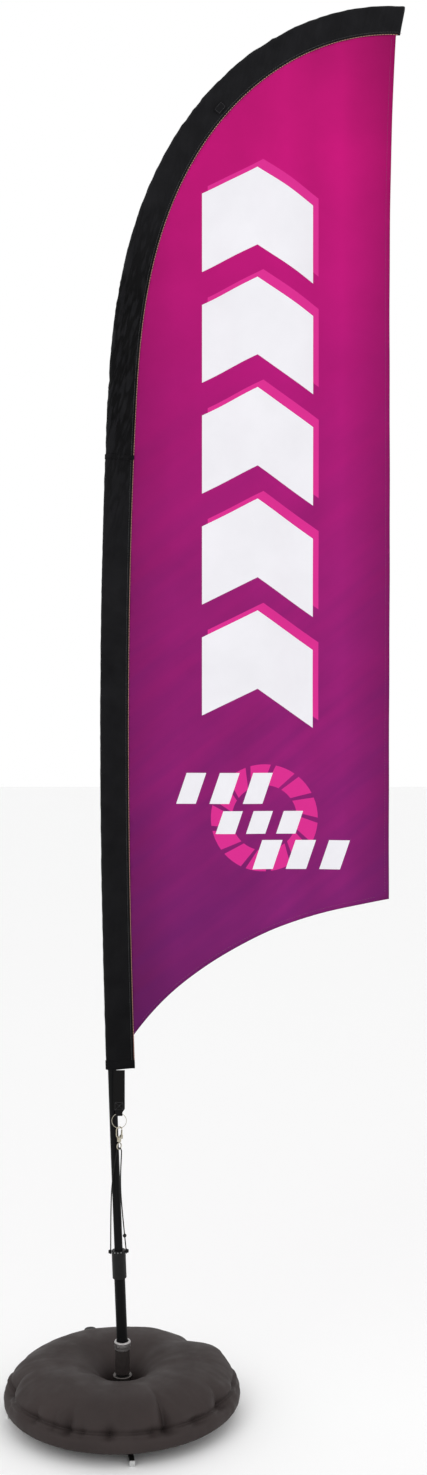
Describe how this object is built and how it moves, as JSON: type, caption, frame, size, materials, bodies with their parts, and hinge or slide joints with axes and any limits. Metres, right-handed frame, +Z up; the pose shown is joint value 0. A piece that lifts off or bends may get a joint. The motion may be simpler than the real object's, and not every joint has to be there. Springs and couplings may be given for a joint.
{
  "type": "bow-shaped advertising flag",
  "caption": "Tall bow-shaped flag on a curved pole that turns freely in a rotating spindle, standing on a folding cross base weighted by a ring-shaped water bag.",
  "frame": {"origin": "on the floor under the spindle's axis, at the middle of the cover plug's underside", "axes": "+Z up along the spindle and the length of the pole, +X towards the flag's free edge, -Y the front"},
  "size_m": [0.8759, 0.514, 3.0886],
  "materials": {
    "black_steel": "satin",
    "bright_steel": "satin",
    "chrome": "polished",
    "grey_plastic": "satin",
    "black_plastic": "satin",
    "fibreglass": "satin",
    "bag_vinyl": "satin",
    "rubber": "matte",
    "sleeve_cloth": "matte",
    "panel_cloth": "matte",
    "webbing": "matte",
    "nickel": "polished",
    "elastic": "matte"
  },
  "bodies": {
    "base": {"lower_leg_bar": "black_steel", "front_leg_plug": "grey_plastic", "rear_leg_plug": "grey_plastic", "screw_cover": "grey_plastic", "pivot_washer": "black_plastic", "pivot_screw": "bright_steel", "spindle": "bright_steel", "thrust_washer": "black_plastic", "retaining_clip": "bright_steel", "bearing_spacer": "bright_steel", "lower_bearing_inner_race": "bright_steel", "upper_bearing_inner_race": "bright_steel", "lower_bearing_ball_cage": "bright_steel", "upper_bearing_ball_cage": "bright_steel"},
    "cross_leg": {"upper_leg_bar": "black_steel", "left_leg_plug": "grey_plastic", "right_leg_plug": "grey_plastic"},
    "bag": {"water_bag": "bag_vinyl", "filler_neck": "black_plastic"},
    "cap": {"filler_cap": "black_plastic", "cap_gasket": "rubber"},
    "rotor": {"rotor_housing": "black_plastic", "cup_rim": "chrome", "lower_bearing_outer_race": "bright_steel", "upper_bearing_outer_race": "bright_steel"},
    "pole": {"pole_foot_plug": "black_plastic", "base_tube": "fibreglass", "tension_collar": "black_plastic", "left_knob": "black_plastic", "right_knob": "black_plastic", "lower_pole": "fibreglass", "lower_ferrule": "bright_steel", "middle_pole": "fibreglass", "middle_ferrule": "bright_steel", "tip_pole": "fibreglass", "tip_cap": "black_plastic", "lower_sleeve": "sleeve_cloth", "upper_sleeve": "sleeve_cloth", "flag_panel": "panel_cloth", "stitched_tab": "sleeve_cloth", "webbing_strap": "webbing", "split_ring": "nickel", "swivel_eye": "nickel", "elastic_cord": "elastic", "cord_bead": "black_plastic"},
    "hook": {"hook_body": "nickel", "gate_pin": "nickel"},
    "gate": {"hook_gate": "nickel"}
  },
  "joints": [
    {"name": "rotor_spin", "type": "hinge", "parent": "base", "child": "rotor", "pos_m": [0, 0, 0.094], "axis": [0, 0, 1], "continuous": true},
    {"name": "pole_lift", "type": "slide", "parent": "rotor", "child": "pole", "axis": [-0.0401, 0, 0.9992], "range_m": [0, 0.06]},
    {"name": "leg_fold", "type": "hinge", "parent": "base", "child": "cross_leg", "pos_m": [0, 0, 0.017], "axis": [0, 0, 1], "range_deg": [-65, 65]},
    {"name": "bag_lift", "type": "slide", "parent": "base", "child": "bag", "axis": [0, 0, 1], "range_m": [0, 0.12]},
    {"name": "cap_turn", "type": "hinge", "parent": "bag", "child": "cap", "pos_m": [-0.08664, 0.18579, 0.095], "axis": [0, 0, 1], "range_deg": [0, 540]},
    {"name": "hook_turn", "type": "hinge", "parent": "pole", "child": "hook", "pos_m": [-0.0065, -0.014, 0.6041], "axis": [0, 0, 1], "range_deg": [0, 100]},
    {"name": "gate_open", "type": "hinge", "parent": "hook", "child": "gate", "pos_m": [-0.00159, -0.01056, 0.6063], "axis": [0.5736, -0.8192, 0], "range_deg": [0, 25], "stiffness_Nm_per_rad": 0.02, "springref_deg": -17.19}
  ]
}
